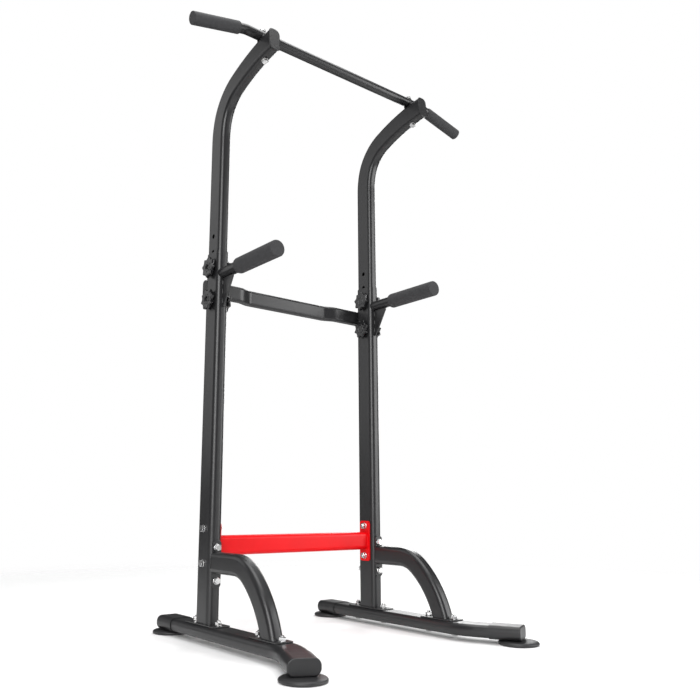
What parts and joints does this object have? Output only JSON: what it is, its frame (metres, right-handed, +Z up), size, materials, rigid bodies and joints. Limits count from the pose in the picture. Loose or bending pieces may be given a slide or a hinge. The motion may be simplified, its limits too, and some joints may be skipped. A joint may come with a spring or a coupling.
{
  "type": "power tower",
  "caption": "Free-standing power tower: a telescoping pull-up bar frame on two braced uprights with dip handles, a crossbar and domed rubber feet.",
  "frame": {"origin": "on the floor, at the middle of the footprint", "axes": "+Z up; -Y to the front, where the user stands; +X to the right as seen from the front"},
  "size_m": [1.0914, 0.851, 1.7732],
  "materials": {
    "black_powder_coat": "satin black powder coat with a fine grain",
    "red_powder_coat": "bright red semi-gloss powder coat",
    "zinc_steel": "bright zinc plating",
    "black_plastic": "moulded black plastic with a fine texture",
    "knob_plastic": "moulded black nylon, slightly glossy",
    "black_rubber": "smooth satin black rubber",
    "black_foam": "closed-cell foam rubber with a fine grain"
  },
  "bodies": {
    "lower_frame": {"foot_tube_left": "black_powder_coat", "foot_bolt_1_left": "zinc_steel", "foot_bolt_2_left": "zinc_steel", "foot_bolt_3_left": "zinc_steel", "foot_bolt_4_left": "zinc_steel", "foot_cap_rear_left": "black_plastic", "foot_pad_rear_left": "black_rubber", "foot_cap_front_left": "black_plastic", "foot_pad_front_left": "black_rubber", "upright_left": "black_powder_coat", "brace_left": "black_powder_coat", "brace_bolt_1_left": "zinc_steel", "brace_bolt_2_left": "zinc_steel", "dip_handle_left": "black_powder_coat", "dip_grip_left": "black_foam", "clamp_washer_upper_left": "zinc_steel", "clamp_washer_lower_left": "zinc_steel", "foot_tube_right": "black_powder_coat", "foot_bolt_1_right": "zinc_steel", "foot_bolt_2_right": "zinc_steel", "foot_bolt_3_right": "zinc_steel", "foot_bolt_4_right": "zinc_steel", "foot_cap_rear_right": "black_plastic", "foot_pad_rear_right": "black_rubber", "foot_cap_front_right": "black_plastic", "foot_pad_front_right": "black_rubber", "upright_right": "black_powder_coat", "brace_right": "black_powder_coat", "brace_bolt_1_right": "zinc_steel", "brace_bolt_2_right": "zinc_steel", "dip_handle_right": "black_powder_coat", "dip_grip_right": "black_foam", "clamp_washer_upper_right": "zinc_steel", "clamp_washer_lower_right": "zinc_steel", "crossbar": "red_powder_coat", "crossbar_bolt_1_left": "zinc_steel", "crossbar_bolt_2_left": "zinc_steel", "crossbar_bolt_1_right": "zinc_steel", "crossbar_bolt_2_right": "zinc_steel", "back_bar": "black_powder_coat", "back_bar_plug_left": "black_plastic", "back_bar_plug_right": "black_plastic"},
    "upper_frame": {"upper_tube_left": "black_powder_coat", "upper_cap_left": "black_plastic", "bar_bolt_left": "zinc_steel", "upper_tube_right": "black_powder_coat", "upper_cap_right": "black_plastic", "bar_bolt_right": "zinc_steel", "pull_up_bar": "black_powder_coat", "bar_grip_left": "black_foam", "bar_grip_right": "black_foam"},
    "clamp_knob_upper_left": {"clamp_knob_upper_left": "knob_plastic"},
    "clamp_bolt_upper_left": {"clamp_bolt_upper_left": "knob_plastic"},
    "clamp_knob_lower_left": {"clamp_knob_lower_left": "knob_plastic"},
    "clamp_bolt_lower_left": {"clamp_bolt_lower_left": "knob_plastic"},
    "clamp_knob_upper_right": {"clamp_knob_upper_right": "knob_plastic"},
    "clamp_bolt_upper_right": {"clamp_bolt_upper_right": "knob_plastic"},
    "clamp_knob_lower_right": {"clamp_knob_lower_right": "knob_plastic"},
    "clamp_bolt_lower_right": {"clamp_bolt_lower_right": "knob_plastic"}
  },
  "joints": [
    {"name": "upper_frame_height", "type": "slide", "parent": "lower_frame", "child": "upper_frame", "axis": [0, 0, 1], "range_m": [-0.1, 0.2]},
    {"name": "clamp_knob_upper_left_turn", "type": "hinge", "parent": "lower_frame", "child": "clamp_knob_upper_left", "pos_m": [-0.3375, 0.161, 1.078], "axis": [-1, 0, 0], "range_deg": [0, 720]},
    {"name": "clamp_bolt_upper_left_pull", "type": "slide", "parent": "lower_frame", "child": "clamp_bolt_upper_left", "axis": [1, 0, 0], "range_m": [0, 0.08]},
    {"name": "clamp_knob_lower_left_turn", "type": "hinge", "parent": "lower_frame", "child": "clamp_knob_lower_left", "pos_m": [-0.3375, 0.161, 0.978], "axis": [-1, 0, 0], "range_deg": [0, 720]},
    {"name": "clamp_bolt_lower_left_pull", "type": "slide", "parent": "lower_frame", "child": "clamp_bolt_lower_left", "axis": [1, 0, 0], "range_m": [0, 0.08]},
    {"name": "clamp_knob_upper_right_turn", "type": "hinge", "parent": "lower_frame", "child": "clamp_knob_upper_right", "pos_m": [0.3375, 0.161, 1.078], "axis": [1, 0, 0], "range_deg": [0, 720]},
    {"name": "clamp_bolt_upper_right_pull", "type": "slide", "parent": "lower_frame", "child": "clamp_bolt_upper_right", "axis": [-1, 0, 0], "range_m": [0, 0.08]},
    {"name": "clamp_knob_lower_right_turn", "type": "hinge", "parent": "lower_frame", "child": "clamp_knob_lower_right", "pos_m": [0.3375, 0.161, 0.978], "axis": [1, 0, 0], "range_deg": [0, 720]},
    {"name": "clamp_bolt_lower_right_pull", "type": "slide", "parent": "lower_frame", "child": "clamp_bolt_lower_right", "axis": [-1, 0, 0], "range_m": [0, 0.08]}
  ]
}
